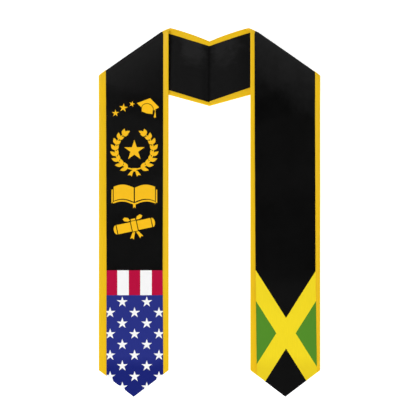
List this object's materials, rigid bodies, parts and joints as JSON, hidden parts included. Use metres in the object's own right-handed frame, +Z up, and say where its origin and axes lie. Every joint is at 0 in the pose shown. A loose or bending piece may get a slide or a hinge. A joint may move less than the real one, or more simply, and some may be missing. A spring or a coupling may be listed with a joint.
{
  "type": "graduation stole",
  "caption": "Graduation stole lying flat: black satin bands with gold bindings, mitred at the neck, folded over at the shoulders and ending in points that carry flags.",
  "frame": {"origin": "middle of the underside, on the surface the stole lies on", "axes": "+Z up off the surface, +Y from the points towards the shoulders and the neck, +X to the right as seen from above with the points nearest"},
  "size_m": [0.4752, 0.7904, 0.0151],
  "materials": {
    "black_satin": "satin",
    "blue_print": "satin",
    "yellow_print": "satin",
    "gold_satin": "satin"
  },
  "bodies": {
    "root": {"left_band": "black_satin", "right_band": "black_satin", "left_flag_end": "blue_print", "right_flag_end": "yellow_print", "left_outer_binding": "gold_satin", "left_inner_binding_front": "gold_satin", "left_inner_binding_neck": "gold_satin", "right_inner_binding_front": "gold_satin", "right_inner_binding_neck": "gold_satin", "right_outer_binding": "gold_satin"}
  },
  "joints": []
}
